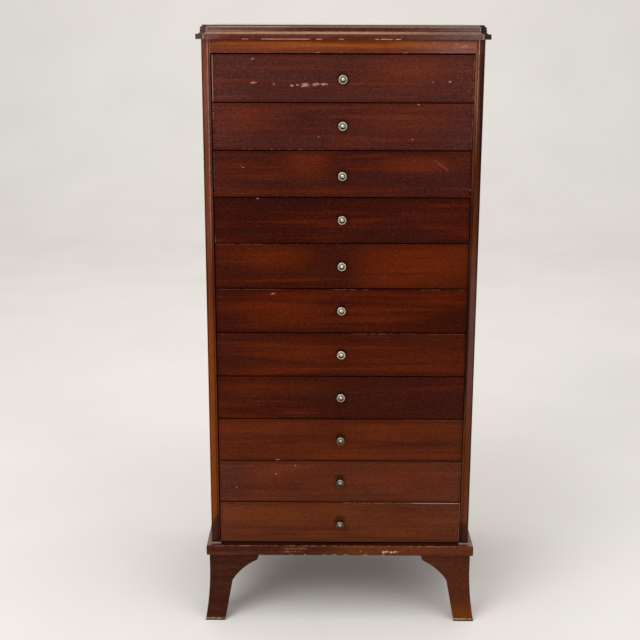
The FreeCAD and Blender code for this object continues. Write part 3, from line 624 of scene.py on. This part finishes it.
def top_board():
    """The moulded top: dark tiers, straw-coloured on cove and lip as wear and painted highlight, dull to the
    right.
    """
    low, high = BOX["top_board"]
    g = Wood("mahogany_top_board", "x", TOP_WOOD)
    up = g.less(g.z, low.z)
    outer = g.less(high.x, g.absolute(g.x))
    front = g.ease(g.y, low.y + 15 * MM, low.y + 11 * MM)
    left_end = g.ease(g.x, -90 * MM, -170 * MM)
    left_part = g.ease(g.x, -40 * MM, -110 * MM)
    right_part = g.ease(g.x, 0, 180 * MM)

    def tier(heights, soft):
        """1 between two heights on the moulded edge, in mm."""
        return g.band(up, heights[0] * MM, heights[1] * MM, soft * MM)

    g.tint(srgb(112, 50, 28), tier(LOWER_STEP, 0.6), 0.6)
    # The cove is straw-coloured: wear, and a painted highlight where it faces the light above
    fading = g.times(g.span(left_end, 1.0, 0.85), g.span(right_part, 1.0, 0.45))
    g.tint(STRAW_SHEEN_AND_WEAR, front, tier(COVE, 0.4), fading, g.span(g.rub, 0.35, 0.95))
    g.tint(RUBBED_EDGE, tier(UPPER_TIER, 0.4), left_part, 0.16)
    g.tint(RUBBED_EDGE, tier(UPPER_TIER_FOOT, 0.3), left_end, 0.6)
    crown = g.ease(up, 18.2 * MM, 19 * MM)
    g.tint(srgb(84, 72, 62), front, crown, 0.7)
    g.tint(GREY_BLOOM, crown, g.span(g.noise(TOP_CLOUDS, 3.0, 0.5), 0.0, 0.24))
    # The lip is grey and pale: a painted highlight on its rounding, with wear
    lip = g.times(front, tier(LIP, 0.3))
    g.tint(LIP_SHEEN_GREY, lip, 0.85)
    g.tint(LIP_SHEEN_PALE, lip, left_part, 0.36)
    g.tint(LIP_SHEEN_PALE, lip, right_part, 0.16)
    g.haze(TOP_HAZES)
    g.tint(srgb(66, 60, 58), g.ease(up, 7 * MM, 6 * MM), right_part, 0.3)
    g.speckle(0.35)
    lower_edge = g.times(front, g.ease(up, 1.0 * MM, 0.6 * MM), g.span(g.broken(1.1), 0.3, 0.95))
    for start, end in BARE_STRETCHES:
        g.tint(BARE_EDGE, lower_edge, g.band(g.x, start * MM, end * MM, 1.5 * MM))
    # The recessed notches at the ends are darkened as painted shade with grime, lighter to the left and
    # darker to the right
    ends = g.times(g.ease(outer, 17 * MM, 15 * MM), g.ease(g.y, low.y + 9 * MM, low.y + 11 * MM))
    g.stain(srgb(84, 80, 76), ends, 0.9)
    notched = g.times(ends, g.ease(g.y, low.y + 40 * MM, low.y + 20 * MM))
    g.tint(srgb(96, 84, 76), notched, left_end, 0.6)
    g.tint(srgb(56, 52, 46), notched, right_part, 0.5)
    notch_side = TOP_NOTCH + 0.8 * MM
    lower_arris = g.times(g.line(outer, notch_side, 3 * MM), g.ease(up, 7.8 * MM, 7.2 * MM))
    upper_arris = g.times(g.line(outer, notch_side + TIER_INSET, 2.4 * MM), g.ease(up, 11 * MM, 12 * MM))
    foremost = g.ease(g.y, low.y + 9 * MM, low.y + 7 * MM)
    g.tint(RUBBED_EDGE, g.either(lower_arris, upper_arris), foremost, 0.65)
    flat = g.times(g.facing_up(), g.ease(up, 20 * MM, 20.3 * MM))
    dress(g.finish(rough=0.36, mirror=g.times(flat, g.grazing()), **POLISH), "top_board")


def base_moulding():
    """The moulding round the base: scuffed in front, pale with dust and painted sheen beside the case, dark
    on top before it.
    """
    low, high = BOX["base_moulding"]
    case_half = BOX["right_side"][1].x
    g = Wood("mahogany_base", "x", BASE_WOOD, corner=(high.x, low.y))
    g.tint(srgb(110, 56, 22), g.ease(g.x, -60 * MM, 30 * MM), 0.3)
    g.tint(srgb(128, 66, 26), g.band(g.x, 5 * MM, 60 * MM, 25 * MM), 0.14)
    g.speckle(0.25)
    g.tint(RUBBED_EDGE, g.line(g.z, high.z - 0.8 * MM, 1.6 * MM), g.broken(0.6), 0.42)
    scuffed = g.band(g.x, -120 * MM, 80 * MM, 15 * MM)
    g.tint(PALE_WEAR_AND_HIGHLIGHT, g.line(g.z, low.z + 0.8 * MM, 2.2 * MM), g.broken(0.55), scuffed, 0.7)
    top_face = g.facing_up()
    aside = g.absolute(g.x)
    # The pale ledges beside the case are dust and a painted sheen
    beside_case = g.ease(aside, case_half - 1 * MM, case_half + 0.5 * MM)
    g.tint(LEDGE_DUST_AND_SHEEN, top_face, beside_case, g.span(g.rub, 0.35, 0.75))
    # Before the case the top face is darkened as the painted shadow of the drawer fronts
    in_front = g.times(top_face, g.ease(aside, case_half + 0.5 * MM, case_half - 1 * MM))
    g.tint(LEDGE_SHADOW_RED, in_front, 0.85)
    # Under the stiles the top face is pale with dust and a painted sheen
    under_stile = g.times(g.ease(aside, 191 * MM, 192 * MM),
                          g.ease(g.y, FRONT_Y - 3 * MM, FRONT_Y - 2 * MM))
    g.tint(DUST_AND_SHEEN, in_front, under_stile, 0.5)
    front_face = g.ease(g.y, low.y + 5 * MM, low.y + 4 * MM)
    gritty = g.times(front_face, g.ease(g.ragged, 0.47, 0.6))
    for colour, scuffs in ((SCUFF, BASE_SCUFFS), (PALE_CREAM, BRIGHT_SCUFFS)):
        for across, height, width, tall, bare in scuffs:
            place = (across * MM, low.y, height * MM)
            scuff = g.spot(place, front_size(width, tall), g.span(g.rub, -1.0, 1.0), soft=0.3)
            g.tint(colour, scuff, gritty, bare)
    for across, width in LOWER_RUBS:
        place = on_front(low, across, 1.4)
        rubbed = g.spot(place, front_size(width, 2.4), g.span(g.ragged, -1.8, 1.8), soft=0.4)
        g.tint(BARE_EDGE, rubbed, front_face, g.span(g.fleck, 0.2, 0.8))
    dress(g.finish(rough=0.4, **POLISH), "base_moulding")


def bottom_board():
    """The board under the drawers, with dust and painted sheen on its ledges and a dark joint with painted
    shade behind the drawer fronts.
    """
    g = Wood("mahogany_bottom_board", "x", BOARD_WOOD)
    # The pale ledges in front of the stiles are dust and a painted sheen
    ledge = g.times(g.facing_up(), g.ease(g.absolute(g.x), 190 * MM, 192 * MM))
    g.tint(DUST_AND_SHEEN, ledge, g.span(g.rub, 0.5, 1.0))
    # The dark band behind the drawer fronts is painted shade with grime, where the ledge meets the stiles'
    # feet
    g.tint(JOINT_DIRT_AND_SHADE, g.band(g.y, FRONT_Y + 3.4 * MM, FRONT_Y + 8 * MM, 0.5 * MM), 0.85)
    dress(g.finish(rough=0.4, **POLISH), "bottom_board")


def foot(name, toe, glow):
    """A bracket foot, dark with old polish, rubbed bare near the floor and dark again along it with grime and
    painted shade.
    """
    low, high = BOX[name]
    outer = max(abs(low.x), abs(high.x))
    g = Wood(f"mahogany_{name}", "x", FOOT_WOOD, corner=(outer, low.y))
    g.tint(srgb(92, 46, 22), glow)
    g.tint(toe, g.ease(g.z, 38 * MM, 8 * MM), 0.6)
    g.speckle(0.25)
    g.tint(STRAW, g.band(g.z, 2 * MM, 4.5 * MM, 0.4 * MM), g.span(g.broken(0.7), 0.15, 0.7))
    # The dark line at the floor is grime and painted shade
    g.tint(JOINT_DIRT_AND_SHADE, g.ease(g.z, 2 * MM, 1.4 * MM), 0.8)
    dress(g.finish(rough=0.42, **POLISH), name)


def plain_wood():
    """The working wood that is seen behind and inside."""
    behind = BOX["drawer_01_box"][1].y - DRAWER_BACK
    oak = Wood("oak", "y", OAK, across_from=behind)
    dress(oak.finish(rough=0.6), "drawer_runners", *[f"drawer_{n:02d}_box" for n in DRAWERS])
    cedar = Wood("cedar", "x", CEDAR)
    dress(cedar.finish(rough=0.65), *[f"drawer_{n:02d}_bottom" for n in DRAWERS])
    pine = Wood("pine", "z", PINE)
    dress(pine.finish(rough=0.65), "back_panel", "rear_top_rail", "foot_blocks")


def knob(name, dark_reflection):
    """A turned knob, bright on its rim and button, dull in the dish between and round its neck."""
    low, high = BOX[name]
    g = Graph(f"aged_brass_{name}")
    patina = g.noise(PATINA, detail=3.0, distortion=0.4)
    tones = (srgb(160, 152, 130), srgb(198, 191, 170), srgb(222, 217, 202))
    g.colour = g.ramp(patina, *zip((0.35, 0.5, 0.65), tones))
    up = g.less(g.z, (low.z + high.z) / 2)
    radius = g.math("SQRT", g.add(g.times(g.x, g.x), g.times(up, up)))
    g.tint(srgb(92, 86, 68), g.band(radius, DISH_START, DISH_END, 0.2 * MM), 0.7)
    # Painted shade on the lower side of the button
    under = g.times(g.ease(radius, DISH_END, DISH_END - 0.4 * MM), g.ease(up, -0.6 * MM, -2.2 * MM))
    g.tint(srgb(62, 58, 44), under, 0.9)
    g.tint(srgb(70, 56, 42), g.ease(g.y, FRONT_Y - 6 * MM, FRONT_Y - 3.5 * MM), 0.85)
    # On the low drawers the knob is darkened as a painted dark reflection, most at its sides and lower half
    g.tint(srgb(112, 108, 92), 0.7 * dark_reflection)
    reflects_dark = g.either(g.ease(g.absolute(g.x), 2.6 * MM, 5 * MM), g.ease(up, 0.2 * MM, -1.6 * MM))
    g.tint(srgb(66, 56, 46), reflects_dark, dark_reflection)
    dress(g.shade(g.span(patina, 0.18, 0.42), patina, METAL_BUMP, Metallic=1.0), name)


def screws():
    g = Graph("old_steel")
    rust = g.noise(RUST, detail=3.0, distortion=0.4)
    g.colour = g.ramp(rust, (0.4, srgb(70, 58, 50)), (0.6, srgb(124, 120, 116)))
    material = g.shade(g.span(rust, 0.35, 0.7), rust, METAL_BUMP, Metallic=1.0)
    dress(material, "case_screws", "runner_screws")


def backdrop():
    """A plain pale floor that sweeps up into a wall behind."""
    turns = [math.pi / 2 * i / BEND_STEPS for i in range(BEND_STEPS + 1)]
    arc = [(BEND_FROM + BEND_RADIUS * math.sin(a), BEND_RADIUS * (1 - math.cos(a))) for a in turns]
    profile = [(-FLOOR_REACH, 0.0)] + arc + [(BEND_FROM + BEND_RADIUS, WALL_TOP)]
    corners = [(x, y, z) for y, z in profile for x in (-FLOOR_REACH, FLOOR_REACH)]
    faces = [(2 * i, 2 * i + 1, 2 * i + 3, 2 * i + 2) for i in range(len(profile) - 1)]
    mesh = bpy.data.meshes.new("studio_floor")
    mesh.from_pydata(corners, [], faces)
    mesh.shade_smooth()
    obj = bpy.data.objects.new("studio_floor", mesh)
    bpy.context.collection.objects.link(obj)
    g = Graph("studio_floor")
    cloud = g.noise(FLOOR_CLOUDS, detail=3.0)
    g.colour = g.ramp(cloud, *zip((0.3, 0.7), FLOOR_TONES))
    mesh.materials.append(g.shade(g.span(cloud, 0.6, 0.75), cloud, FLOOR_BUMP, relief=0.1))


def lamp(name, place, target, size, power):
    data = bpy.data.lights.new(name, "AREA")
    data.size = size
    data.energy = power
    obj = bpy.data.objects.new(name, data)
    obj.location = place
    obj.rotation_euler = (Vector(target) - Vector(place)).to_track_quat("-Z", "Y").to_euler()
    bpy.context.collection.objects.link(obj)


def studio():
    """The floor, the lamps and an even sky."""
    backdrop()
    for row in LAMPS:
        lamp(*row)
    world = bpy.data.worlds.new("studio")
    world.use_nodes = True
    sky = world.node_tree.nodes["Background"]
    sky.inputs["Color"].default_value = SKY
    sky.inputs["Strength"].default_value = SKY_STRENGTH
    bpy.context.scene.world = world
    bpy.context.scene.view_settings.view_transform = "Standard"


def camera():
    data = bpy.data.cameras.new("camera")
    data.lens = CAMERA_LENS
    data.sensor_width = SENSOR
    obj = bpy.data.objects.new("camera", data)
    level = Matrix.Rotation(CAMERA_YAW, 4, "Z") @ Matrix.Rotation(math.pi / 2 - CAMERA_TILT, 4, "X")
    obj.matrix_world = Matrix.Translation(CAMERA_PLACE) @ level @ Matrix.Rotation(CAMERA_ROLL, 4, "Z")
    bpy.context.collection.objects.link(obj)
    bpy.context.scene.camera = obj


for number in DRAWERS:
    drawer_front(number, **FRONT_LOOK[number])
    knob(f"drawer_{number:02d}_knob", KNOB_DARK_REFLECTION.get(number, 0.0))
frieze()
for name, look in SIDE_LOOK.items():
    case_side(name, **look)
top_board()
base_moulding()
bottom_board()
for side, toe, glow in FOOT_LOOK:
    foot(f"foot_front_{side}", toe, glow)
    foot(f"foot_rear_{side}", toe, glow)
plain_wood()
screws()
studio()
camera()
